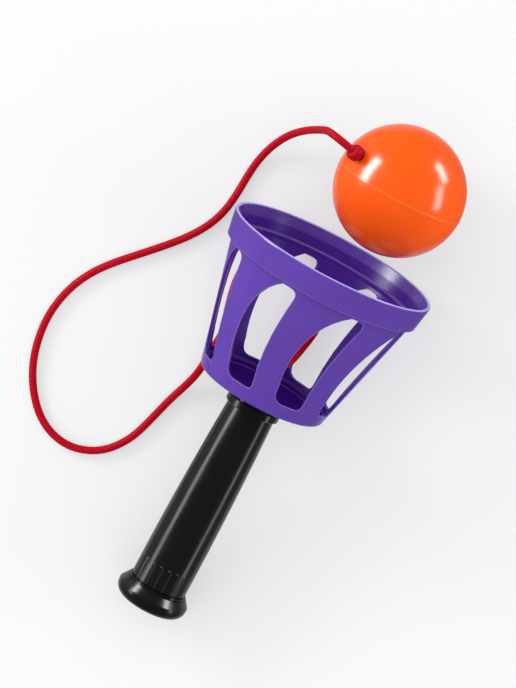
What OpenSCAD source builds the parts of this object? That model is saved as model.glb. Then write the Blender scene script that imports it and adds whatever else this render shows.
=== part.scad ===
// Ball catch toy, lying on its side with its tethered ball in front of the basket's mouth.
// The toy is drawn along its own axis, pommel end at 0 and mouth upwards, and lay() puts it down.
// +X is towards the mouth, +Z is up. The toy touches the floor with its band and its pommel.

/* [Toy] */
// Length from the pommel's end face to the rim
toy_l = 215; // [200:1:230]
// Length of the basket, rim to underside of its floor
basket_l = 84; // [78:1:92]

/* [Basket] */
// Outside radius at the rim
rim_r = 57.5; // [56.5:0.5:62]
// Height of the wide band below the rim
band_h = 14; // [12:0.5:20]
// How much narrower the band is at its lower edge
band_taper = 2.2; // [0.5:0.1:2.3]
// How far the band stands out past the slotted wall
band_step = 2.5; // [2:0.1:4]
// Height of the step inside the band
step_h = 2.6; // [2:0.1:4]
// Outside radius of the slotted wall at the floor
base_r = 35.5; // [33:0.5:38]
// Wall thickness
wall = 1.9; // [1.5:0.1:2.4]
// Floor thickness
floor_t = 2.4; // [2:0.1:4]
// Radius of the corner between wall and floor
corner_r = 3; // [1:0.5:4]
// Height of the thick ring at the foot of the wall, inside
ledge_h = 5.6; // [4:0.1:8]
// How far that ring stands in from the wall
ledge_w = 1.2; // [0.5:0.1:2]

/* [Slots] */
// Number of slots round the wall
slot_count = 8; // [4:2:10]
// Width of a slot between its straight edge and its bulge
slot_w = 24; // [18:0.5:26]
// Height of a slot
slot_h = 60.3; // [50:0.1:61]
// Height of the slots' lower ends over the underside of the floor
slot_up = 8; // [7:0.5:9]

/* [Hub] */
// Outside radius of the hub that enters the handle
hub_r = 9.9; // [8:0.1:10.5]
// Thickness of the hub's wall
hub_wall = 2; // [1.6:0.1:2.6]
// Length of the hub in the handle
hub_l = 20; // [14:1:30]
// Outside radius of the flange between floor and handle
flange_r = 12.4; // [11.5:0.1:13]
// Thickness of that flange
flange_t = 1.2; // [0.8:0.1:2]
// Height of the snap beads on hub and plug
bead_h = 0.5; // [0.3:0.1:0.6]
// Width of the slits that let the hub spring
slit_w = 2; // [1.5:0.1:3]

/* [Handle] */
// Outside radius of the grip at its neck
neck_r = 13.4; // [12.5:0.1:14.5]
// Outside radius of the grip at its pommel end
grip_r = 15.6; // [15:0.1:17]
// How far the grip swells past a straight taper, halfway along
grip_belly = 0.7; // [0:0.1:1]
// Height of the narrow throat above the collar, seen as a dark gap
throat_h = 4.2; // [3:0.1:6]
// Height of the collar at the neck
collar_h = 4.4; // [3:0.1:7]
// How far the collar stands out past the neck
collar_step = 1.8; // [0.8:0.1:2.4]
// Radius of the bore for the pommel's plug
plug_bore_r = 12; // [11:0.1:12.4]
// Depth of that bore
plug_bore_l = 19; // [16:1:30]
// Number of flutes round the foot of the grip
flute_count = 20; // [12:1:24]
// Length of a flute
flute_l = 13.5; // [8:0.5:18]
// Radius of the round cutter that makes a flute
flute_r = 3; // [1.5:0.1:4]
// Depth of a flute
flute_d = 0.3; // [0.2:0.05:0.6]

/* [Pommel] */
// Largest radius of the pommel
pommel_r = 20; // [18:0.5:23]
// Radius of the round between its side and its end face
pommel_round = 6; // [3:0.5:6.5]
// Height of the pommel's straight side
pommel_side = 1.6; // [1:0.1:3]
// Height of the sloping shoulder
shoulder_h = 3.8; // [2:0.1:5]
// Width of the sloping shoulder
shoulder_w = 2.8; // [1.5:0.1:3.5]
// Height of the small ring that meets the grip
seat_h = 1.4; // [1:0.1:3]
// Length of the plug inside the handle
plug_l = 16; // [12:0.5:18]
// Thickness of the plug's wall
plug_wall = 2.4; // [1.8:0.1:3]

/* [Ball] */
// Radius of the ball
ball_r = 35.5; // [33:0.5:37.5]
// Thickness of the ball's shell
shell_t = 1.9; // [1.4:0.1:2.6]
// How far the seam stands out
seam_h = 0.25; // [0.1:0.05:0.4]
// Half width of the seam
seam_w = 0.35; // [0.2:0.05:0.6]
// Height of the lap joint inside the seam
lap_h = 1.6; // [1:0.1:3]
// Distance from the ball's back to the middle of the mouth
ball_gap = 10.9; // [4:0.1:12]
// How far the ball lies to the side of the axis
ball_side = -14; // [-18:1:-12]

/* [Cord] */
// Radius of the cord
cord_r = 2.1; // [1.8:0.1:2.2]
// Clearance of the cord in its holes
cord_fit = 0.2; // [0.1:0.05:0.4]
// Number of turns in a knot
knot_turns = 2; // [2:1:3]

/* [Fits] */
// Clearance between pieces that push together
push_fit = 0.1; // [0.05:0.01:0.2]
// Clearance of a knot that lets the ball turn
turn_fit = 0.2; // [0.15:0.05:0.4]

/* [Hidden] */
$fn = 96;

// Heights along the toy's axis
floor_z = toy_l - basket_l;
floor_top = floor_z + floor_t;
band_z = toy_l - band_h;
neck_z = floor_z - flange_t;
collar_top = neck_z - throat_h;
collar_z = collar_top - collar_h;
shoulder_z = pommel_round + pommel_side;
seat_z = shoulder_z + shoulder_h;
grip_z = seat_z + seat_h;
// Radii that follow from others
lip_r = wall / 2;
wall_top_r = rim_r - band_taper - band_step;
seat_r = pommel_r - shoulder_w;
plug_r = plug_bore_r - push_fit;
hub_bore_r = hub_r + push_fit;
hub_in_r = hub_r - hub_wall;
cord_hole_r = cord_r + cord_fit;
pommel_face_r = pommel_r - pommel_round;
// Outside radius of the slotted wall at a height
function wall_at(z) = base_r + (wall_top_r - base_r) * (z - floor_z) / (band_z - floor_z);
// Points on an arc of radius r round c, from angle a to angle b
function arc(c, r, a, b, n) = [
    for (i = [0:n]) c + r * [cos(a + (b - a) * i / n), sin(a + (b - a) * i / n)]
];
// Points on a cubic curve
function curve(a, b, c, d, n) = [
    for (i = [0:n]) let (t = i / n, u = 1 - t)
        u * u * u * a + 3 * u * u * t * b + 3 * u * t * t * c + t * t * t * d
];

// The lie of the toy: the line under the band's lower edge and the pommel's round is the floor
lip_c = [rim_r - lip_r, toy_l - lip_r];
pommel_c = [pommel_face_r, pommel_round];
reach = band_z - pommel_c[1];
rise = rim_r - band_taper - pommel_c[0];
tilt = atan2(rise, reach) - asin(pommel_round / norm([reach, rise]));
axis_h = pommel_c[0] * cos(tilt) + pommel_round - pommel_c[1] * sin(tilt);
// Middle of the toy and its ball together, along X
back_x = pommel_round * (cos(tilt) - 1) - pommel_face_r * sin(tilt);
ball_x = toy_l * cos(tilt) + ball_r + ball_gap;
mid_x = (back_x + ball_x + ball_r) / 2;
ball_c = [ball_x - mid_x, ball_side, ball_r];
// A point of the toy's axis in the row frame
function on_axis(z) = [z * cos(tilt) - mid_x, 0, axis_h + z * sin(tilt)];

// Where the cord leaves the ball: angle from straight up, and turn about it
hole_tilt = 49;
hole_turn = 78;
hole_dir = [sin(hole_tilt) * cos(hole_turn), sin(hole_tilt) * sin(hole_turn), cos(hole_tilt)];
// Lean of the ball's seam from upright
seam_lean = 9;

// A knot is turns of cord, each a ring of its own radius round the standing part
knot_ring = 2.6;
knot_pitch = 3.4;
knot_l = 2 * cord_r + (knot_turns - 1) * knot_pitch;

// Route of the cord: out of the basket's floor, round the inside, out of a low slot and over the floor
cord_start = on_axis(floor_z - turn_fit);
cord_end = ball_c + hole_dir * (ball_r + turn_fit + knot_l);
cord_way = [
    [-11, 0, 43], [-7.6, -0.2, 42.9], [-4.4, -0.6, 41.6], [-2, -1.2, 39.2],
    [-0.7, -2, 36], [1, -3.5, 28.7],
    [4, -5.5, 20], [9, -7, 13.5], [17.5, -8.5, 11], [27, -10, 10.5], [36, -8, 9.5],
    [43.5, -3, 8.5], [48.5, 5.5, 8.5], [51.5, 15.5, 10.5], [52, 25, 15], [50.5, 33.5, 21.5],
    [45.5, 38.5, 28.5], [38, 40, 34.5], [28, 39.5, 37], [19, 37.5, 37], [11, 35.5, 34.5],
    [4.5, 33.5, 30], [0, 33, 25], [-9.5, 34.5, 19.5], [-17.5, 34.5, 13], [-25.5, 35.5, 7.5],
    [-34, 38, 3.8], [-43, 41.5, 2.5], [-52, 44, 2.5], [-61, 46.5, 2.5], [-70.5, 49.5, 2.5],
    [-79, 54.5, 2.5], [-86, 61, 2.5], [-90.5, 69.5, 2.5], [-92.5, 79, 2.5], [-91, 89, 2.5],
    [-86.5, 98, 2.5], [-79.5, 105.5, 2.5], [-70.5, 112, 2.5], [-60, 117, 2.5], [-48, 120, 2.5],
    [-36, 121, 2.5], [-24, 119.5, 2.5], [-13, 116, 2.5], [-3, 110.5, 2.5], [6.5, 103, 2.5],
    [15.5, 94.5, 2.5], [24.5, 86, 2.5], [34, 77.5, 2.5], [43.5, 70.5, 2.5], [53.5, 65.5, 2.5],
    [64, 63, 2.5], [75, 62.3, 2.5], [86, 61.8, 2.5], [95, 60.2, 3.3], [102.5, 57.5, 5.8],
    [108.5, 54.2, 10], [113, 50.5, 15.8], [116.4, 46.5, 22.5], [118.8, 42.7, 30],
    [120.4, 39.5, 37.5], [121.4, 37, 45], [122, 35, 52], [122.2, 33.5, 58],
    [122, 31.9, 62], [121.5, 29, 64.8], [120.8, 25.4, 66.1], [120.1, 21.5, 65.7]
];

module lay()
    translate([-mid_x, 0, axis_h]) rotate([0, 90 - tilt, 0]) children();

// Turned upright so that the hole in the ball points along Z
module along_hole()
    translate(ball_c) rotate([0, hole_tilt, hole_turn]) children();

// Turned so that the ball's seam lies in the XY plane
module along_seam()
    translate(ball_c) rotate([0, 90 - seam_lean, 0]) children();

// Outline of one slot, its straight edge to the right and its bulge to the left
slot_pts = concat(
    curve([-0.06, 0], [-0.27, 0.01], [-0.31, 0.06], [-0.33, 0.14], 5),
    curve([-0.33, 0.14], [-0.54, 0.41], [-0.52, 0.81], [0.19, 1], 12),
    curve([0.36, 1], [0.5, 1], [0.56, 0.98], [0.55, 0.93], 5),
    curve([0.55, 0.93], [0.43, 0.71], [0.28, 0.37], [0.4, 0.06], 6),
    curve([0.4, 0.06], [0.41, 0.02], [0.37, 0], [0.29, 0], 4)
);
module slot_outline()
    polygon([for (p = slot_pts) [p[0] * slot_w, p[1] * slot_h]]);

// The two halves of the mould mirror each other, so the slots lean alike seen from above and below
module slots() {
    for (i = [0:slot_count - 1]) {
        turn = (i + 0.5) * 360 / slot_count;
        side = cos(turn) < 0 ? 0 : 1;
        rotate([90, 0, turn + 90])
            translate([0, floor_z + slot_up, base_r / 2])
                linear_extrude(rim_r) mirror([side, 0, 0]) slot_outline();
    }
}

// Cross-section of the basket's wall, band and floor
module basket_section() {
    polygon(concat(
        [[0, floor_z]],
        arc([wall_at(floor_z + corner_r) - corner_r, floor_z + corner_r], corner_r, -90, 0, 5),
        [[wall_top_r, band_z], [rim_r - band_taper, band_z]],
        arc(lip_c, lip_r, 0, 180, 8),
        [
            [rim_r - band_taper - wall, band_z + step_h],
            [wall_top_r - wall, band_z + step_h],
            [wall_top_r - wall, band_z],
            [wall_at(floor_z + ledge_h) - wall, floor_z + ledge_h],
            [wall_at(floor_z + ledge_h) - wall - ledge_w, floor_z + ledge_h - ledge_w / 2],
            [wall_at(floor_top) - wall - ledge_w, floor_top],
            [0, floor_top]
        ]
    ));
}

// Cross-section of the hub, from its flange down to its snap bead
module hub_section() {
    bead_z = neck_z - hub_l + 3;
    polygon([
        [hub_in_r, floor_z + floor_t / 2],
        [flange_r, floor_z + floor_t / 2],
        [flange_r, neck_z],
        [hub_r, neck_z],
        [hub_r, bead_z + 1.5],
        [hub_r + bead_h, bead_z],
        [hub_r + bead_h, bead_z - 0.6],
        [hub_r - bead_h, neck_z - hub_l],
        [hub_in_r, neck_z - hub_l]
    ]);
}

module basket() {
    color([0.36, 0.24, 0.66])
        lay()
            difference() {
                union() {
                    rotate_extrude() basket_section();
                    rotate_extrude() hub_section();
                }
                slots();
                translate([0, 0, floor_z - 1]) cylinder(r = cord_hole_r, h = floor_t + 2);
                for (a = [0, 90])
                    rotate([0, 0, a])
                        translate([-hub_r * 2, -slit_w / 2, neck_z - hub_l - 1])
                            cube([hub_r * 4, slit_w, hub_l * 0.6 + 1]);
            }
}

// The handle's bore: a socket for the hub, a socket for the plug and a core between them
module handle_bore() {
    bead_z = neck_z - hub_l + 3;
    groove_r = hub_r + bead_h + push_fit;
    core_z = neck_z - hub_l - 4;
    plug_z = grip_z + plug_bore_l;
    plug_bead_z = grip_z + plug_l - 4;
    rotate_extrude()
        polygon([
            [0, grip_z - 1],
            [plug_bore_r, grip_z - 1],
            [plug_bore_r, plug_bead_z - 1.6],
            [plug_bore_r + bead_h, plug_bead_z - 0.6],
            [plug_bore_r + bead_h, plug_bead_z + 0.6],
            [plug_bore_r, plug_bead_z + 1.6],
            [plug_bore_r, plug_z],
            [hub_bore_r - 1, plug_z + 4],
            [hub_bore_r - 1, core_z],
            [hub_bore_r, core_z + 1],
            [hub_bore_r, bead_z - 2.4],
            [groove_r, bead_z - 1.2],
            [groove_r, bead_z + 0.4],
            [hub_bore_r, bead_z + 1.8],
            [hub_bore_r, neck_z + 1],
            [0, neck_z + 1]
        ]);
}

// Flutes round the foot of the grip, cut along its slope
module flutes() {
    slope = atan2(grip_r - neck_r - 4 * grip_belly, collar_z - grip_z);
    for (i = [0:flute_count - 1])
        rotate([0, 0, (i + 0.5) * 360 / flute_count])
            translate([grip_r + flute_r - flute_d, 0, grip_z - 1])
                rotate([0, -slope, 0]) cylinder(r = flute_r, h = flute_l + 1, $fn = 24);
}

module handle_grip() {
    collar_r = neck_r + collar_step;
    edge = 0.6;
    // Up the grip's side, with its slight swell
    grip_line = [
        for (i = [0:8])
            let (t = i / 8, z = grip_z + edge + t * (collar_z - grip_z - edge))
                [grip_r + (neck_r - grip_r) * t + 4 * grip_belly * t * (1 - t), z]
    ];
    color([0.06, 0.06, 0.065])
        lay()
            difference() {
                rotate_extrude()
                    polygon(concat(
                        [
                            [0, grip_z],
                            [grip_r - edge, grip_z]
                        ],
                        grip_line,
                        [
                            [collar_r - edge / 2, collar_z],
                            [collar_r, collar_z + edge / 2],
                            [collar_r, collar_top - edge],
                            [collar_r - edge, collar_top],
                            [flange_r, collar_top],
                            [flange_r, neck_z],
                            [0, neck_z]
                        ]
                    ));
                handle_bore();
                flutes();
            }
}

module end_cap() {
    bead_z = grip_z + plug_l - 4;
    floor_in = seat_z - 1;
    color([0.06, 0.06, 0.065])
        lay()
            rotate_extrude()
                polygon(concat(
                    [[0, 0]],
                    arc(pommel_c, pommel_round, -90, 0, 8),
                    [
                        [pommel_r, shoulder_z],
                        [seat_r, seat_z],
                        [seat_r - 0.9, seat_z],
                        [seat_r - 0.9, grip_z],
                        [plug_r, grip_z],
                        [plug_r, bead_z - 1.4],
                        [plug_r + bead_h, bead_z - 0.4],
                        [plug_r + bead_h, bead_z + 0.4],
                        [plug_r, bead_z + 1.4],
                        [plug_r - 1, grip_z + plug_l],
                        [plug_r - plug_wall, grip_z + plug_l],
                        [plug_r - plug_wall, floor_in],
                        [0, floor_in]
                    ]
                ));
}

// Turns of cord round a core, from height 0 upwards
module knot() {
    color([0.78, 0.03, 0.12])
        rotate_extrude()
            union() {
                square([knot_ring, knot_l]);
                for (i = [0:knot_turns - 1])
                    translate([knot_ring, cord_r + i * knot_pitch]) circle(r = cord_r, $fn = 48);
            }
}

module basket_knot()
    lay() translate([0, 0, floor_z - turn_fit - knot_l]) knot();

module ball_knot()
    along_hole() translate([0, 0, ball_r + turn_fit]) knot();

// The knot inside the ball and the short stem of cord that passes the shell
module ball_inner_knot() {
    inside = ball_r - shell_t;
    gap = inside - sqrt(inside * inside - pow(knot_ring + cord_r, 2)) + turn_fit;
    color([0.78, 0.03, 0.12])
        along_hole() {
            translate([0, 0, inside - gap - knot_l]) knot();
            translate([0, 0, inside - gap - 1]) cylinder(r = cord_r, h = shell_t + gap + turn_fit + 1);
        }
}

// Half of the ball's hollow shell, above the seam
module half_shell() {
    difference() {
        sphere(r = ball_r);
        sphere(r = ball_r - shell_t);
        translate([0, 0, -ball_r]) cube(2 * ball_r, center = true);
    }
}

// Half of the weld line that stands out round the seam
module seam_ring()
    difference() {
        cylinder(r = ball_r + seam_h, h = seam_w);
        translate([0, 0, -1]) cylinder(r = ball_r - shell_t / 2, h = seam_w + 2);
    }

// The back half's lip, which enters the front half before the two are welded
module seam_lip(fit)
    difference() {
        translate([0, 0, -lap_h + fit]) cylinder(r = ball_r - shell_t / 2 - fit, h = lap_h - fit);
        translate([0, 0, -lap_h - 1]) cylinder(r = ball_r - shell_t, h = lap_h + 2);
    }

module ball_half_front() {
    color([1, 0.38, 0.05])
        difference() {
            along_seam()
                union() {
                    half_shell();
                    seam_ring();
                }
            along_hole() cylinder(r = cord_hole_r, h = ball_r + 2);
            along_seam()
                translate([0, 0, -1]) cylinder(r = ball_r - shell_t / 2, h = lap_h + 1);
        }
}

module ball_half_back() {
    color([1, 0.38, 0.05])
        along_seam()
            mirror([0, 0, 1])
                union() {
                    half_shell();
                    seam_ring();
                    seam_lip(push_fit);
                }
}

// The cord is one tube swept along its route
cord_pts = concat([cord_start], cord_way, [cord_end]);
cord_n = len(cord_pts);
cord_sides = 8;
// Directions at the points: the axis at the start, the hole at the end, the neighbours elsewhere
function unit(v) = v / norm(v);
function heading(i) =
    i == 0 ? [cos(tilt), 0, sin(tilt)]
    : i == cord_n - 1 ? -hole_dir
    : unit(cord_pts[i + 1] - cord_pts[i - 1]);
// A frame carried along the cord, so that the sides don't twist
function carried(i, side) = unit(side - (side * heading(i)) * heading(i));
function sides_from(i, side) =
    i == cord_n ? [] : let (s = carried(i, side)) concat([s], sides_from(i + 1, s));
cord_side = sides_from(0, [0, 1, 0]);
cord_rings = [
    for (i = [0:cord_n - 1], k = [0:cord_sides - 1])
        let (a = (k + 0.5) * 360 / cord_sides, s = cord_side[i], t = cross(heading(i), s))
            cord_pts[i] + cord_r * (cos(a) * s + sin(a) * t)
];
module cord() {
    last = (cord_n - 1) * cord_sides;
    skin = [
        for (i = [0:cord_n - 2], k = [0:cord_sides - 1], half = [0, 1])
            let (
                a = i * cord_sides + k,
                b = i * cord_sides + (k + 1) % cord_sides
            )
                half == 0 ? [a, b, b + cord_sides] : [a, b + cord_sides, a + cord_sides]
    ];
    first_end = [for (k = [cord_sides - 1:-1:0]) k];
    last_end = [for (k = [0:cord_sides - 1]) last + k];
    color([0.78, 0.03, 0.12])
        polyhedron(cord_rings, concat([first_end], skin, [last_end]), convexity = 10);
}

basket();
handle_grip();
end_cap();
cord();
basket_knot();
ball_knot();
ball_inner_knot();
ball_half_front();
ball_half_back();
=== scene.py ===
"""Looks of the ball catch toy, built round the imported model.

The scene is in metres. The toy's own sizes and the cord's line are in millimetres, and MM turns
them into metres.
"""

import math

import bpy
import numpy as np
from mathutils import Matrix, Vector


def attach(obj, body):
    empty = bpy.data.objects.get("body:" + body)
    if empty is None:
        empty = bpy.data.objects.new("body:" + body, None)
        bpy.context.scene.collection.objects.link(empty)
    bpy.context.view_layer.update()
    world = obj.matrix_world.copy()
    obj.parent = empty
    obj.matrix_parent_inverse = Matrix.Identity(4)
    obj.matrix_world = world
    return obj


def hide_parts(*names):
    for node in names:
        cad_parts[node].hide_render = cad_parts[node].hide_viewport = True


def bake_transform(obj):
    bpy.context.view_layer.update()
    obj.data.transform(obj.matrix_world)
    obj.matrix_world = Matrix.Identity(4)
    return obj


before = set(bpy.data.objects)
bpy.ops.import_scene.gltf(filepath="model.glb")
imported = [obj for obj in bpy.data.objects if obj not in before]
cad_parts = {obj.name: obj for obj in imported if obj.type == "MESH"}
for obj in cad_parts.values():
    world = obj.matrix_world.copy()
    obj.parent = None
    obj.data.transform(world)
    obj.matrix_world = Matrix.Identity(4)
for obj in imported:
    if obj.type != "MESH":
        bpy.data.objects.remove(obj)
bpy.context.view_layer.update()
scene = bpy.context.scene
scene.view_settings.view_transform = "Standard"

MM = 0.001

# Sizes of the part's source, in millimetres, and its angles
TOY_L = 215
FLOOR_Z = 131.0
BAND_LOW_R, BAND_LOW_Z = 55.3, 201.0
END_FACE_R, POMMEL_ROUND = 14.0, 6.0
FLUTES = 20
BALL_R, SHELL_T = 35.5, 1.9
BALL_GAP, BALL_SIDE = 10.9, -14.0
HOLE_TILT, HOLE_TURN = math.radians(49), math.radians(78)
SEAM_LEAN = math.radians(9)
TURN_FIT = 0.2
KNOT_L = 7.6

# The toy's lie, worked out as in the source: on its band and on the round of its end cap
REACH, RISE = BAND_LOW_Z - POMMEL_ROUND, BAND_LOW_R - END_FACE_R
TILT = math.atan2(RISE, REACH) - math.asin(POMMEL_ROUND / math.hypot(REACH, RISE))
AXIS = Vector((math.cos(TILT), 0, math.sin(TILT)))
DOWN = Vector((math.sin(TILT), 0, -math.cos(TILT)))
AXIS_H = END_FACE_R * math.cos(TILT) + POMMEL_ROUND - POMMEL_ROUND * math.sin(TILT)
BACK_X = POMMEL_ROUND * (math.cos(TILT) - 1) - END_FACE_R * math.sin(TILT)
BALL_X = TOY_L * math.cos(TILT) + BALL_R + BALL_GAP
MID_X = (BACK_X + BALL_X + BALL_R) / 2
BALL = Vector((BALL_X - MID_X, BALL_SIDE, BALL_R))
HOLE = Vector(
    (
        math.sin(HOLE_TILT) * math.cos(HOLE_TURN),
        math.sin(HOLE_TILT) * math.sin(HOLE_TURN),
        math.cos(HOLE_TILT),
    )
)


def on_axis(z):
    """A point of the toy's axis, in millimetres."""
    return Vector((z * math.cos(TILT) - MID_X, 0, AXIS_H + z * math.sin(TILT)))


# ---------------------------------------------------------------- camera
CAMERA_PLACE = (89.6, -33.0, 2200)  # millimetres
CAMERA_RIGHT = (0.4740, -0.8797, -0.0378)
CAMERA_LOOK = (-0.0387, 0.0215, -0.9990)
LENS, SENSOR_H = 142.8, 24


def make_camera():
    """A long lens high above the toy, as the photograph was taken."""
    right = Vector(CAMERA_RIGHT).normalized()
    look = Vector(CAMERA_LOOK).normalized()
    up = right.cross(look).normalized()
    right = look.cross(up).normalized()
    data = bpy.data.cameras.new("camera")
    cam = bpy.data.objects.new("camera", data)
    scene.collection.objects.link(cam)
    turn = Matrix((right, up, -look)).transposed()
    cam.matrix_world = Matrix.Translation(Vector(CAMERA_PLACE) * MM) @ turn.to_4x4()
    data.sensor_fit = "VERTICAL"
    data.sensor_height = SENSOR_H
    data.lens = LENS
    data.clip_start, data.clip_end = 0.05, 20
    scene.camera = cam


# ---------------------------------------------------------------- node helpers
def new_material(name):
    """A material with one Principled shader, its node tree, the shader and the output."""
    mat = bpy.data.materials.new(name)
    mat.use_nodes = True
    tree = mat.node_tree
    tree.nodes.clear()
    out = tree.nodes.new("ShaderNodeOutputMaterial")
    bsdf = tree.nodes.new("ShaderNodeBsdfPrincipled")
    tree.links.new(bsdf.outputs[0], out.inputs[0])
    return mat, tree, bsdf, out


def feed(tree, socket, value):
    """Link an output to a socket, or write a plain value on it."""
    if hasattr(value, "is_output"):
        tree.links.new(value, socket)
    else:
        socket.default_value = value


def add(tree, kind, inputs=None, **props):
    node = tree.nodes.new(kind)
    for key, value in props.items():
        setattr(node, key, value)
    for key, value in (inputs or {}).items():
        feed(tree, node.inputs[key], value)
    return node


def noise(tree, vector, scale, detail, rough=0.5):
    inputs = {"Vector": vector, "Scale": scale, "Detail": detail, "Roughness": rough}
    return add(tree, "ShaderNodeTexNoise", inputs).outputs[0]


def remap(tree, value, from_lo, from_hi, to_lo, to_hi):
    inputs = {0: value, 1: from_lo, 2: from_hi, 3: to_lo, 4: to_hi}
    return add(tree, "ShaderNodeMapRange", inputs).outputs[0]


def mix_colour(tree, factor, a, b):
    node = add(tree, "ShaderNodeMix", {0: factor}, data_type="RGBA")
    for index, value in ((6, a), (7, b)):
        feed(tree, node.inputs[index], value if hasattr(value, "is_output") else (*value, 1))
    return node.outputs[2]


def mix_shader(tree, factor, a, b):
    return add(tree, "ShaderNodeMixShader", {0: factor, 1: a, 2: b}).outputs[0]


def calc(tree, op, a, b=None):
    inputs = {0: a} if b is None else {0: a, 1: b}
    return add(tree, "ShaderNodeMath", inputs, operation=op).outputs[0]


def vector_calc(tree, op, a, b=None, output=0):
    inputs = {0: a} if b is None else {0: a, 1: b}
    return add(tree, "ShaderNodeVectorMath", inputs, operation=op).outputs[output]


def dot_product(tree, a, b):
    return vector_calc(tree, "DOT_PRODUCT", a, b, "Value")


def off(tree, value, target):
    """How far a value is from a target."""
    return calc(tree, "ABSOLUTE", calc(tree, "SUBTRACT", value, target))


def path_of(tree, kind):
    return add(tree, "ShaderNodeLightPath").outputs[kind]


def object_place(tree):
    return add(tree, "ShaderNodeTexCoord").outputs["Object"]


def edge_mask(tree, radius, low, high):
    """1 along the sharp edges of the mesh, 0 on its faces."""
    rounded = add(tree, "ShaderNodeBevel", {"Radius": radius}, samples=8).outputs[0]
    flat = add(tree, "ShaderNodeNewGeometry").outputs["Normal"]
    return remap(tree, dot_product(tree, rounded, flat), low, high, 1, 0)


def toy_place(tree, place):
    """Height along the toy's axis and distance from it, at each point of a surface."""
    from_foot = vector_calc(tree, "SUBTRACT", place, tuple(on_axis(0) * MM))
    along = dot_product(tree, from_foot, tuple(AXIS))
    across = vector_calc(tree, "CROSS_PRODUCT", from_foot, tuple(AXIS))
    return along, vector_calc(tree, "LENGTH", across, output="Value")


# ---------------------------------------------------------------- moulded plastic
IOR = 1.5
FLOW_SCALE, WAVE_SCALE, SMEAR_SCALE = 22.0, 38.0, 90.0
# Distances from the toy's axis and heights along it, in metres. A pair of heights is a soft edge.
WALL_MIDDLE = (0.0346, 0.0519)  # distance of the wall's middle at the floor and at the band
BAND_OUT, BAND_START = 0.0026, (0.2015, 0.2025)  # the band's middle lies further out
IN_FLOOR = (0.1316, 0.132)  # the basket's inside begins within its floor
DEEP = (0.134, 0.15)  # its deepest part, where the painted shade is darkest, at the floor
LEDGE = 0.2034  # the step inside the band
LIP = (0.2143, 0.2147)
GLINT_FOOT, GLINT_TOP = 0.0135, 0.026  # ends of the painted glint lines at the flutes
DOT_AT, LINE_AT = 0.5, 0.8  # where the painted glint dot and line lie across a flute, from 0 to 1
# The width of an edge with painted highlight, and how far the rounded normal follows the flat
# one: edge and no edge
EDGE_SIZE, EDGE_FOLLOWS = 0.0006, (0.88, 0.985)
# Painted highlight colour for the basket's edges, lip and ledge line
PAINTED_EDGE_HIGHLIGHT = (0.5, 0.42, 0.86)
# Painted shade: the inside's colour, and the darker one towards its floor
PAINTED_INSIDE_SHADE = (0.066, 0.012, 0.28)
PAINTED_FLOOR_SHADE = (0.035, 0.004, 0.165)
# Painted glint colours for the handle's flutes
GLINT_DOT, GLINT_LINE = (0.11, 0.11, 0.113), (0.022, 0.022, 0.023)
# The seam's lighter colour is a painted highlight; its rise is a real bump
SEAM_PAINTED_HIGHLIGHT, SEAM_HALF, SEAM_RISE = (1.0, 0.16, 0.015), 0.0006, 0.00006


def basket_inside(tree, z, radius):
    """1 on the inside of the basket's wall and floor, 0 outside."""
    wall = remap(tree, z, FLOOR_Z * MM, BAND_LOW_Z * MM, *WALL_MIDDLE)
    wall = calc(tree, "ADD", wall, remap(tree, z, *BAND_START, 0, BAND_OUT))
    within = remap(tree, calc(tree, "SUBTRACT", wall, radius), -0.0001, 0.0001, 0, 1)
    return calc(tree, "MULTIPLY", within, remap(tree, z, *IN_FLOOR, 0, 1))


def paint_basket_shade_and_highlights(tree, place, tint, spec):
    """Painted shade: a darker inside, darkest at the floor, with a weaker specular level there.
    Painted highlights: a light lip, light edges and a faint light line at the ledge.

    Returns the colour and the specular level.
    """
    z, radius = toy_place(tree, place)
    inner = basket_inside(tree, z, radius)
    # Painted shade inside the basket, darkest towards its floor
    tint = mix_colour(tree, inner, tint, PAINTED_INSIDE_SHADE)
    deep = calc(tree, "MULTIPLY", remap(tree, z, *DEEP, 1, 0), inner)
    tint = mix_colour(tree, deep, tint, PAINTED_FLOOR_SHADE)

    # Painted highlights: the lip, a faint light line at the ledge and the sharp edges
    lip = remap(tree, z, *LIP, 0, 0.9)
    ledge = remap(tree, off(tree, z, LEDGE), 0.0001, 0.0004, 0.22, 0)
    ledge = calc(tree, "MULTIPLY", ledge, inner)
    edges = calc(tree, "MULTIPLY", edge_mask(tree, EDGE_SIZE, *EDGE_FOLLOWS), 0.55)
    painted_highlight = calc(tree, "MAXIMUM", edges, lip)
    tint = mix_colour(tree, calc(tree, "MAXIMUM", painted_highlight, ledge), tint, PAINTED_EDGE_HIGHLIGHT)

    # A weaker specular level inside paints shade into its reflections too
    shade_dulling = calc(tree, "MULTIPLY", inner, 0.6)
    shade_dulling = calc(tree, "ADD", shade_dulling, calc(tree, "MULTIPLY", deep, 0.4))
    return tint, remap(tree, shade_dulling, 0, 1, spec, 0)


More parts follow.
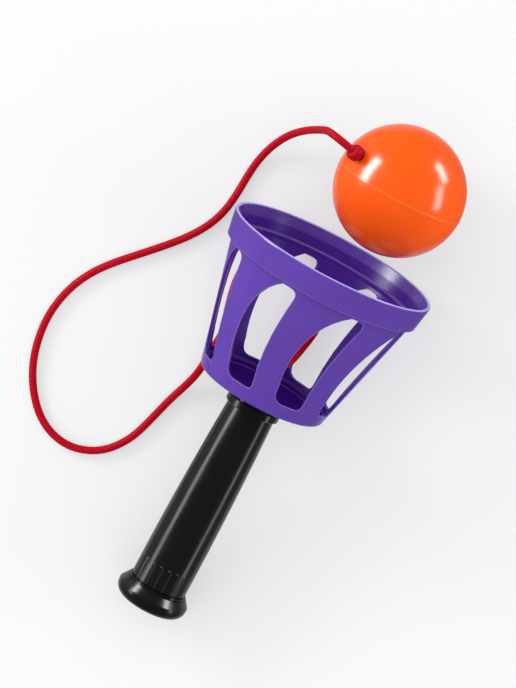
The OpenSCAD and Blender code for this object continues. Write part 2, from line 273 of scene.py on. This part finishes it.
def paint_flute_glints(tree, place, tint):
    """Painted glints: small light dots at the tops of the flutes, and fine light lines at their
    right edges.
    """
    z, _ = toy_place(tree, place)
    down = dot_product(tree, place, tuple(DOWN))
    down = calc(tree, "SUBTRACT", down, (on_axis(0) * MM).dot(DOWN))
    across = add(tree, "ShaderNodeSeparateXYZ", {0: place}).outputs[1]
    turn = calc(tree, "ARCTAN2", across, down)
    step = calc(tree, "FRACT", calc(tree, "MULTIPLY", turn, FLUTES / (2 * math.pi)))
    at_top = remap(tree, off(tree, z, GLINT_TOP), 0.0001, 0.0004, 1, 0)
    in_middle = remap(tree, off(tree, step, DOT_AT), 0.06, 0.16, 1, 0)
    dot = calc(tree, "MULTIPLY", at_top, in_middle)
    tint = mix_colour(tree, dot, tint, GLINT_DOT)

    at_edge = remap(tree, off(tree, step, LINE_AT), 0.05, 0.12, 1, 0)
    below_top = remap(tree, z, GLINT_TOP - 0.0005, GLINT_TOP, 1, 0)
    above_foot = remap(tree, z, GLINT_FOOT, GLINT_FOOT + 0.0005, 0, 1)
    line = calc(tree, "MULTIPLY", at_edge, calc(tree, "MULTIPLY", below_top, above_foot))
    return mix_colour(tree, line, tint, GLINT_LINE)


def seam_line(tree, place):
    """1 within a thin band round the ball's seam, 0 away from it."""
    normal = Vector((math.cos(SEAM_LEAN), 0, math.sin(SEAM_LEAN)))
    along = dot_product(tree, place, tuple(normal))
    from_seam = off(tree, along, (BALL * MM).dot(normal))
    return remap(tree, from_seam, SEAM_HALF * 0.5, SEAM_HALF, 1, 0)


def moulded_plastic(name, colour, deep, rough, wave, spec=0.5, edge=None, form=None, bounce=None):
    """Injection-moulded gloss plastic: faint flow in its colour, soft waves in its surface.

    `form` is the moulding whose painted light it gets: painted shade and highlights on the
    basket, painted glints on the handle and a painted seam highlight on the ball. `bounce` is the
    colour that it has in scattered light, so that it tints its surroundings less.
    """
    mat, tree, bsdf, _ = new_material(name)
    place = object_place(tree)
    flow = noise(tree, place, FLOW_SCALE, 3.0)
    tint = mix_colour(tree, remap(tree, flow, 0.35, 0.65, 0, 1), deep, colour)
    if form == "basket":
        tint, spec = paint_basket_shade_and_highlights(tree, place, tint, spec)
    if form == "handle":
        tint = paint_flute_glints(tree, place, tint)
    if bounce:
        tint = mix_colour(tree, path_of(tree, "Is Diffuse Ray"), tint, bounce)
    height = calc(tree, "MULTIPLY", noise(tree, place, WAVE_SCALE, 1.0), wave)
    if form == "ball":
        line = seam_line(tree, place)
        # Painted highlight along the seam, over a real raised bump
        tint = mix_colour(tree, line, tint, SEAM_PAINTED_HIGHLIGHT)
        height = calc(tree, "ADD", height, calc(tree, "MULTIPLY", line, SEAM_RISE))
    smear = noise(tree, place, SMEAR_SCALE, 4.0, 0.6)
    smear = remap(tree, smear, 0.3, 0.7, rough * 0.9, rough * 1.15)
    bump = add(tree, "ShaderNodeBump", {"Height": height, "Strength": 0.6, "Distance": 1.0})
    if edge:
        bevel = add(tree, "ShaderNodeBevel", {"Radius": edge}, samples=8)
        tree.links.new(bevel.outputs[0], bump.inputs["Normal"])
    feed(tree, bsdf.inputs["Base Color"], tint)
    feed(tree, bsdf.inputs["Roughness"], smear)
    feed(tree, bsdf.inputs["Specular IOR Level"], spec)
    feed(tree, bsdf.inputs["Normal"], bump.outputs[0])
    feed(tree, bsdf.inputs["IOR"], IOR)
    return mat


# ---------------------------------------------------------------- braid
# Painted shade in the braid's crevices; the crowns have the cord's own crimson
PAINTED_CREVICE_SHADE, CROWN = (0.12, 0.0, 0.004), (0.66, 0.0, 0.014)
# Painted glint specks on the yarn, and darker patches of random tone
PAINTED_YARN_GLINT, PATCH = (0.9, 0.08, 0.13), (0.46, 0.0, 0.01)
CORD_BOUNCE = (0.5, 0.36, 0.36)
SPECK_SCALE, PATCH_SCALE, YARN_SCALE = 1900.0, 260.0, 9.0


def braid_material(name):
    """Crimson polyester braid: its own crimson on the crowns, painted shade in the crevices and
    painted glint specks on the crowns.
    """
    mat, tree, bsdf, _ = new_material(name)
    uv = add(tree, "ShaderNodeUVMap", uv_map="braid").outputs[0]
    crown = add(tree, "ShaderNodeAttribute", attribute_name="crown").outputs["Fac"]
    place = object_place(tree)
    # Painted shade in the crevices between the strands
    body = mix_colour(tree, remap(tree, crown, 0.15, 0.95, 0, 1), PAINTED_CREVICE_SHADE, CROWN)
    # Painted glints: light specks on the crowns of the yarn
    glint_specks = remap(tree, noise(tree, place, SPECK_SCALE, 2.0, 0.6), 0.56, 0.72, 0, 1)
    painted_glints = calc(tree, "MULTIPLY", glint_specks, remap(tree, crown, 0.5, 1.0, 0, 1))
    body = mix_colour(tree, painted_glints, body, PAINTED_YARN_GLINT)
    patches = remap(tree, noise(tree, place, PATCH_SCALE, 2.0), 0.35, 0.7, 0.0, 0.35)
    body = mix_colour(tree, patches, body, PATCH)
    body = mix_colour(tree, path_of(tree, "Is Diffuse Ray"), body, CORD_BOUNCE)
    yarn = add(
        tree,
        "ShaderNodeTexWave",
        {"Vector": uv, "Scale": YARN_SCALE, "Distortion": 1.5, "Detail": 1.0},
        bands_direction="DIAGONAL",
    )
    inputs = {"Height": yarn.outputs[1], "Strength": 0.35, "Distance": 0.00012}
    bump = add(tree, "ShaderNodeBump", inputs)
    feed(tree, bsdf.inputs["Base Color"], body)
    feed(tree, bsdf.inputs["Roughness"], 0.5)
    feed(tree, bsdf.inputs["Specular IOR Level"], 0.05)
    feed(tree, bsdf.inputs["Normal"], bump.outputs[0])
    return mat


# ---------------------------------------------------------------- cord
# The cord's line, chosen along the photo's cord and the same as in the source
CORD_WAY = [
    (-11, 0, 43), (-7.6, -0.2, 42.9), (-4.4, -0.6, 41.6), (-2, -1.2, 39.2),
    (-0.7, -2, 36), (1, -3.5, 28.7),
    (4, -5.5, 20), (9, -7, 13.5), (17.5, -8.5, 11), (27, -10, 10.5), (36, -8, 9.5),
    (43.5, -3, 8.5), (48.5, 5.5, 8.5), (51.5, 15.5, 10.5), (52, 25, 15), (50.5, 33.5, 21.5),
    (45.5, 38.5, 28.5), (38, 40, 34.5), (28, 39.5, 37), (19, 37.5, 37), (11, 35.5, 34.5),
    (4.5, 33.5, 30), (0, 33, 25), (-9.5, 34.5, 19.5), (-17.5, 34.5, 13), (-25.5, 35.5, 7.5),
    (-34, 38, 3.8), (-43, 41.5, 2.5), (-52, 44, 2.5), (-61, 46.5, 2.5), (-70.5, 49.5, 2.5),
    (-79, 54.5, 2.5), (-86, 61, 2.5), (-90.5, 69.5, 2.5), (-92.5, 79, 2.5), (-91, 89, 2.5),
    (-86.5, 98, 2.5), (-79.5, 105.5, 2.5), (-70.5, 112, 2.5), (-60, 117, 2.5), (-48, 120, 2.5),
    (-36, 121, 2.5), (-24, 119.5, 2.5), (-13, 116, 2.5), (-3, 110.5, 2.5), (6.5, 103, 2.5),
    (15.5, 94.5, 2.5), (24.5, 86, 2.5), (34, 77.5, 2.5), (43.5, 70.5, 2.5), (53.5, 65.5, 2.5),
    (64, 63, 2.5), (75, 62.3, 2.5), (86, 61.8, 2.5), (95, 60.2, 3.3), (102.5, 57.5, 5.8),
    (108.5, 54.2, 10), (113, 50.5, 15.8), (116.4, 46.5, 22.5), (118.8, 42.7, 30),
    (120.4, 39.5, 37.5), (121.4, 37, 45), (122, 35, 52), (122.2, 33.5, 58),
    (122, 31.9, 62), (121.5, 29, 64.8), (120.8, 25.4, 66.1), (120.1, 21.5, 65.7),
]
# Lengths below are in millimetres
PER_SPAN = 40  # points of the smooth line between two chosen points, before even sampling
SMOOTH_ROUNDS, SMOOTH_SHARE = 400, 0.25
INTO_KNOT = 5.6  # the cord's end lies inside its knot, this far from the ball
UV_LENGTH = 13.2  # cord for one unit of its texture
CARRIERS, PITCH, WEAVE = 8, 2.3, 0.55  # strands each way, their slope, and how far they go under
# A knot: its turns, their radius, the strand's radius, and the gap under its lowest turn
KNOT_TURNS, KNOT_RING, KNOT_STRAND, KNOT_LOW = 1.9, 2.55, 1.95, 0.3
KNOT_FACING = Vector((0.3, -0.4, 0.8))  # the side on which a knot's first turn starts
BEHIND_SHELL = 0.55  # between the shell's inside and the base of the knot in the ball
# Tubes of braid: radius over the crowns, points round and depth of the braid. A knot also has
# its length and the step between its rings.
CORD_STEP, CORD_TUBE = 0.34, dict(radius=2.12, around=40, depth=0.17)
SEEN_KNOT = dict(out=KNOT_L, step=0.3, radius=1.95, around=36, depth=0.16)
HIDDEN_KNOT = dict(out=7.4, step=0.5, radius=1.9, around=20, depth=0.12)


def run_along(line):
    """The length run at each point of a line."""
    return np.concatenate([[0], np.cumsum(np.linalg.norm(np.diff(line, axis=0), axis=1))])


def smooth_way(points, step):
    """A smooth line through the points (centripetal Catmull-Rom), sampled evenly."""
    p = np.array(points, float)
    p = np.vstack([2 * p[0] - p[1], p, 2 * p[-1] - p[-2]])
    out = []
    for i in range(1, len(p) - 2):
        a, b, c, d = p[i - 1 : i + 3]
        t0 = 0.0
        t1 = t0 + np.linalg.norm(b - a) ** 0.5
        t2 = t1 + np.linalg.norm(c - b) ** 0.5
        t3 = t2 + np.linalg.norm(d - c) ** 0.5
        t = np.linspace(t1, t2, PER_SPAN, endpoint=False)[:, None]
        a1 = (t1 - t) / (t1 - t0) * a + (t - t0) / (t1 - t0) * b
        a2 = (t2 - t) / (t2 - t1) * b + (t - t1) / (t2 - t1) * c
        a3 = (t3 - t) / (t3 - t2) * c + (t - t2) / (t3 - t2) * d
        b1 = (t2 - t) / (t2 - t0) * a1 + (t - t0) / (t2 - t0) * a2
        b2 = (t3 - t) / (t3 - t1) * a2 + (t - t1) / (t3 - t1) * a3
        out.append((t2 - t) / (t2 - t1) * b1 + (t - t1) / (t2 - t1) * b2)
    line = np.vstack(out + [p[-2]])
    run = run_along(line)
    count = max(2, int(round(run[-1] / step)) + 1)
    at = np.linspace(0, run[-1], count)
    return np.column_stack([np.interp(at, run, line[:, k]) for k in range(3)])


def carried_frames(line):
    """Two directions across the line at each point, carried along it without twist."""
    tangent = np.gradient(line, axis=0)
    tangent /= np.linalg.norm(tangent, axis=1)[:, None]
    side = np.zeros_like(line)
    first = np.array([0.0, 1.0, 0.0])
    if abs(tangent[0] @ first) > 0.9:
        first = np.array([1.0, 0.0, 0.0])
    s = first - (first @ tangent[0]) * tangent[0]
    side[0] = s / np.linalg.norm(s)
    for i in range(1, len(line)):
        s = side[i - 1] - (side[i - 1] @ tangent[i]) * tangent[i]
        side[i] = s / np.linalg.norm(s)
    return side, np.cross(tangent, side)


def braid_height(run, turn):
    """Height of a braid's surface, 0 to 1, where two sets of strands go over and under."""
    s, u = np.meshgrid(run, turn, indexing="ij")
    a = CARRIERS * u + s / PITCH
    b = CARRIERS * u - s / PITCH
    ia, ib = np.floor(a), np.floor(b)
    fa, fb = a - ia, b - ib
    over_a = np.cos(np.pi * (b - 0.5 + ia))
    over_b = -np.cos(np.pi * (a - 0.5 + ib))
    strand_a = np.sqrt(np.clip(1 - (2 * fa - 1) ** 2, 0, 1)) + WEAVE * over_a
    strand_b = np.sqrt(np.clip(1 - (2 * fb - 1) ** 2, 0, 1)) + WEAVE * over_b
    return np.clip((np.maximum(strand_a, strand_b) - 0.45) / 1.1, 0, 1)


def braid_tube(name, line, mat, radius, around, depth):
    """A closed tube of braided yarn along a line in millimetres, with its texture's layer."""
    side, other = carried_frames(line)
    run = run_along(line)
    turn = np.arange(around) / around
    height = braid_height(run, turn)
    r = radius - depth + depth * height
    angle = 2 * np.pi * turn[None, :]
    co = (
        line[:, None, :]
        + (r * np.cos(angle))[..., None] * side[:, None, :]
        + (r * np.sin(angle))[..., None] * other[:, None, :]
    ) * MM
    rings, n = len(line), around
    i, k = np.meshgrid(np.arange(rings - 1), np.arange(n), indexing="ij")
    nxt = (k + 1) % n
    quads = np.stack([i * n + k, i * n + nxt, (i + 1) * n + nxt, (i + 1) * n + k], axis=-1)
    faces = [tuple(q) for q in quads.reshape(-1, 4).tolist()]
    faces.append(tuple(range(n - 1, -1, -1)))
    faces.append(tuple(range((rings - 1) * n, rings * n)))
    mesh = bpy.data.meshes.new(name)
    mesh.from_pydata(co.reshape(-1, 3).tolist(), [], faces)
    crown = mesh.attributes.new("crown", "FLOAT", "POINT")
    crown.data.foreach_set("value", height.reshape(-1).astype(np.float32))
    layer = mesh.uv_layers.new(name="braid")
    uv = np.zeros((len(mesh.loops), 2), np.float32)
    corner = 0
    for ring, col in zip(i.reshape(-1), k.reshape(-1)):
        for dr, dc in ((0, 0), (0, 1), (1, 1), (1, 0)):
            uv[corner] = ((col + dc) / n, run[ring + dr] / UV_LENGTH)
            corner += 1
    layer.data.foreach_set("uv", uv.reshape(-1))
    mesh.polygons.foreach_set("use_smooth", [True] * len(mesh.polygons))
    mesh.update()
    mesh.materials.append(mat)
    obj = bpy.data.objects.new(name, mesh)
    scene.collection.objects.link(obj)
    return obj


def knot_line(base, axis, out):
    """The line of a tight knot: the cord comes down its middle, goes round and tucks in."""
    axis = axis.normalized()
    x = KNOT_FACING - KNOT_FACING.dot(axis) * axis
    x.normalize()
    y = axis.cross(x)
    pts = []

    def put(r, angle, z):
        p = base + x * r * math.cos(angle) + y * r * math.sin(angle) + axis * z
        pts.append(tuple(p))

    put(0, 0, out)
    put(0, 0, out - 2.2)
    put(0.2, 0, 3.6)
    put(0.9, 0.2, 2.2)
    z0, z1 = KNOT_LOW + KNOT_STRAND, out - KNOT_STRAND + 0.1
    first, wound, per_turn = 0.9, KNOT_TURNS * 2 * math.pi, 12
    steps = int(KNOT_TURNS * per_turn)
    for i in range(steps + 1):
        f = i / steps
        put(KNOT_RING, first + f * wound, z0 + (z1 - z0) * min(1, f * 1.25))
    end = first + wound
    put(KNOT_RING * 0.72, end + 0.5, z1 - 0.7)
    put(KNOT_RING * 0.4, end + 1.1, z1 - 2.2)
    put(0.3, end + 1.6, 1.4)
    put(0, 0, -0.9)
    return pts


def knot_wrap(name, base, axis, mat, out, step, radius, around, depth):
    """A knot wound from one strand of braid."""
    line = smooth_way(knot_line(base, axis, out), step)
    return braid_tube(name, line, mat, radius, around, depth)


def build_cords(mat):
    """The cord and its three knots. Returns the pieces."""
    start = on_axis(FLOOR_Z - TURN_FIT)
    knot_base = BALL + HOLE * (BALL_R + TURN_FIT)
    knot_top = knot_base + HOLE * KNOT_L
    cord_end = knot_base + HOLE * INTO_KNOT
    line = smooth_way([tuple(start)] + CORD_WAY + [tuple(knot_top), tuple(cord_end)], CORD_STEP)
    # A light smoothing takes the listed points' wobble out
    for _ in range(SMOOTH_ROUNDS):
        line[1:-1] += SMOOTH_SHARE * (line[:-2] + line[2:] - 2 * line[1:-1])
    cord = braid_tube("cord_braid", line, mat, **CORD_TUBE)
    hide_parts("cord")

    inner_base = BALL + HOLE * (BALL_R - SHELL_T - BEHIND_SHELL)
    ball_knot = knot_wrap("ball_knot_wrap", knot_base, HOLE, mat, **SEEN_KNOT)
    inner_knot = knot_wrap("ball_inner_knot_wrap", inner_base, -HOLE, mat, **HIDDEN_KNOT)
    hub_knot = knot_wrap("basket_knot_wrap", start, -AXIS, mat, **HIDDEN_KNOT)
    for piece, node, body in (
        (ball_knot, "ball_knot", "ball_tether"),
        (inner_knot, "ball_inner_knot", "ball_tether"),
        (hub_knot, "basket_knot", "catcher"),
    ):
        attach(piece, body)
        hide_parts(node)
    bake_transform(cord)
    return [cord, ball_knot, inner_knot, hub_knot]


# ---------------------------------------------------------------- stage
WARM, COOL = (1, 0.99, 0.985), (0.98, 0.985, 1)
SOFT_LEVEL, DARK_LEVEL, WHITE_LEVEL = 0.96, 0.015, 0.93
PAPER, PAPER_SHARE = (0.94, 0.94, 0.945, 1), 0.42
FLOOR_TONES = ((0.9, 0.9, 0.9), (0.875, 0.875, 0.885))
SHEET_TONES = ((0.6, 0.6, 0.605), (0.1, 0.1, 0.105))
SHEET_SHAPE = (5.0, 13.0, 0.0)  # one over the half sizes of the mirrored sheet, in metres
FLOOR_HALF = 4.0
# The lamps: what they look at, the ways to them and how far away they are, in metres
AIM = Vector((0.02, 0, 0.03))
KEY_WAY, FILL_WAY, KEY_AWAY = Vector((0.123, 0.905, 0.411)), Vector((0.28, -0.9, 0.3)), 2.6
LEFT_WAY, RIGHT_WAY = Vector((-0.28, 0.898, 0.337)), Vector((-0.24, -0.964, 0.111))
HANDLE_AWAY, GLINT_AWAY = 2, 1.5
LOW_PLACE = Vector((1.56, -1.25, 0.2))
GRIP_MIDDLE, CAP_SHOULDER = 70, 8  # heights along the toy's axis, in millimetres


def build_world():
    """Soft light for the toy, almost dark in reflections and white for the camera."""
    world = bpy.data.worlds.new("studio")
    scene.world = world
    world.use_nodes = True
    tree = world.node_tree
    tree.nodes.clear()
    out = tree.nodes.new("ShaderNodeOutputWorld")
    soft, dark, white = (
        add(tree, "ShaderNodeBackground", {"Color": (*colour, 1), "Strength": level}).outputs[0]
        for colour, level in (
            (COOL, SOFT_LEVEL),
            ((1, 1, 1), DARK_LEVEL),
            ((1, 1, 1), WHITE_LEVEL),
        )
    )
    room = mix_shader(tree, path_of(tree, "Is Glossy Ray"), soft, dark)
    seen = mix_shader(tree, path_of(tree, "Is Camera Ray"), room, white)
    tree.links.new(seen, out.inputs[0])


def build_floor():
    """A plain pale floor that keeps the toy's shadow."""
    mat, tree, bsdf, out = new_material("floor_white")
    bsdf.inputs["Roughness"].default_value = 0.7
    bsdf.inputs["Specular IOR Level"].default_value = 0.2
    place = object_place(tree)
    cloud = remap(tree, noise(tree, place, 3.0, 2.0), 0.35, 0.7, 0, 1)
    tone = mix_colour(tree, cloud, *FLOOR_TONES)
    # In reflections the lit floor ends a little way from the toy, as a sheet of paper does
    flat = vector_calc(tree, "MULTIPLY", place, SHEET_SHAPE)
    reach = vector_calc(tree, "LENGTH", flat, output="Value")
    sheet = mix_colour(tree, remap(tree, reach, 0.8, 1.15, 0, 1), *SHEET_TONES)
    tone = mix_colour(tree, path_of(tree, "Is Glossy Ray"), tone, sheet)
    tree.links.new(tone, bsdf.inputs["Base Color"])
    # Seen from the camera, part of the floor's white is its own, so its shadows stay pale
    paper = add(tree, "ShaderNodeEmission", {"Color": PAPER, "Strength": 1.0}).outputs[0]
    own_part = calc(tree, "MULTIPLY", path_of(tree, "Is Camera Ray"), PAPER_SHARE)
    surface = mix_shader(tree, own_part, bsdf.outputs[0], paper)
    tree.links.new(surface, out.inputs[0])
    mesh = bpy.data.meshes.new("floor")
    s = FLOOR_HALF
    mesh.from_pydata([(-s, -s, 0), (s, -s, 0), (s, s, 0), (-s, s, 0)], [], [(0, 1, 2, 3)])
    floor = bpy.data.objects.new("floor", mesh)
    mesh.materials.append(mat)
    scene.collection.objects.link(floor)
    return floor


def area_light(name, place, size, power, colour=(1, 1, 1), only=None, gloss_only=False):
    """A soft box aimed at the toy; it may light some pieces only, or show in gloss only."""
    data = bpy.data.lights.new(name, "AREA")
    data.shape = "RECTANGLE"
    data.size, data.size_y = size
    data.energy = power
    data.color = colour
    light = bpy.data.objects.new(name, data)
    scene.collection.objects.link(light)
    light.location = place
    light.rotation_mode = "QUATERNION"
    light.rotation_quaternion = (AIM - place).to_track_quat("-Z", "Y")
    light.visible_diffuse = not gloss_only
    if only:
        lit = bpy.data.collections.new(name + "_lit")
        for obj in only:
            lit.objects.link(obj)
        light.light_linking.receiver_collection = lit


def build_lamps(pieces, floor):
    """Soft boxes to the left and right. The strips, glints and handle lamps show in gloss alone.

    Boxes in one direction stand a little behind each other, with the strip in front.
    """
    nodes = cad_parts
    toy = list(nodes.values()) + pieces
    ball = [nodes["ball_half_front"], nodes["ball_half_back"]]
    handle = [nodes["handle_grip"], nodes["end_cap"]]
    cap = [nodes["end_cap"]]
    middle, grip, foot = BALL * MM, on_axis(GRIP_MIDDLE) * MM, on_axis(CAP_SHOULDER) * MM
    key, fill = KEY_WAY * KEY_AWAY, FILL_WAY * KEY_AWAY
    left, right = LEFT_WAY * HANDLE_AWAY, RIGHT_WAY * HANDLE_AWAY
    wide = (1.9, 0.9)
    area_light("key", middle + key, wide, 14, WARM)
    area_light("key_toy", middle + key * 1.02, wide, 22, WARM, toy)
    area_light("key_floor", middle + key * 1.04, (1.0, 0.5), 12.5, WARM, [floor])
    area_light("key_strip", middle + key * 0.98, (1.7, 0.6), 80, gloss_only=True)
    area_light("fill_strip", middle + fill * 0.98, (1.5, 0.6), 18, only=ball, gloss_only=True)
    area_light("fill", middle + fill, (1.6, 0.6), 12, COOL)
    area_light("low_strip", middle + LOW_PLACE, (0.9, 0.45), 26, gloss_only=True)
    for side in (1, -1):
        glint = foot + Vector((0.67, 0.66 * side, 0.35)) * GLINT_AWAY
        area_light("cap_glint", glint, (0.3, 0.3), 5, only=cap, gloss_only=True)
    area_light("handle_left", grip + left, (0.8, 0.42), 5.0, only=handle, gloss_only=True)
    area_light("handle_right", grip + right, (0.8, 0.3), 2.6, only=handle, gloss_only=True)


# ---------------------------------------------------------------- build
make_camera()
cords = build_cords(braid_material("cord_crimson"))
build_world()
build_lamps(cords, build_floor())

purple = moulded_plastic(
    "basket_purple",
    colour=(0.112, 0.048, 0.37),
    deep=(0.102, 0.042, 0.34),
    rough=0.27,
    wave=0.0001,
    spec=0.35,
    edge=0.0004,
    form="basket",
    bounce=(0.15, 0.06, 0.24),
)
black = moulded_plastic(
    "handle_black",
    colour=(0.0085, 0.0085, 0.0092),
    deep=(0.007, 0.007, 0.0078),
    rough=0.2,
    wave=0.00005,
    form="handle",
)
orange = moulded_plastic(
    "ball_orange",
    colour=(1.0, 0.108, 0.0005),
    deep=(0.98, 0.1, 0.0005),
    rough=0.2,
    wave=0.00008,
    spec=0.45,
    form="ball",
    bounce=(0.62, 0.5, 0.46),
)
for node, mat in (
    ("basket", purple),
    ("handle_grip", black),
    ("end_cap", black),
    ("ball_half_front", orange),
    ("ball_half_back", orange),
):
    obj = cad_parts[node]
    for slot in obj.material_slots:
        slot.material = mat
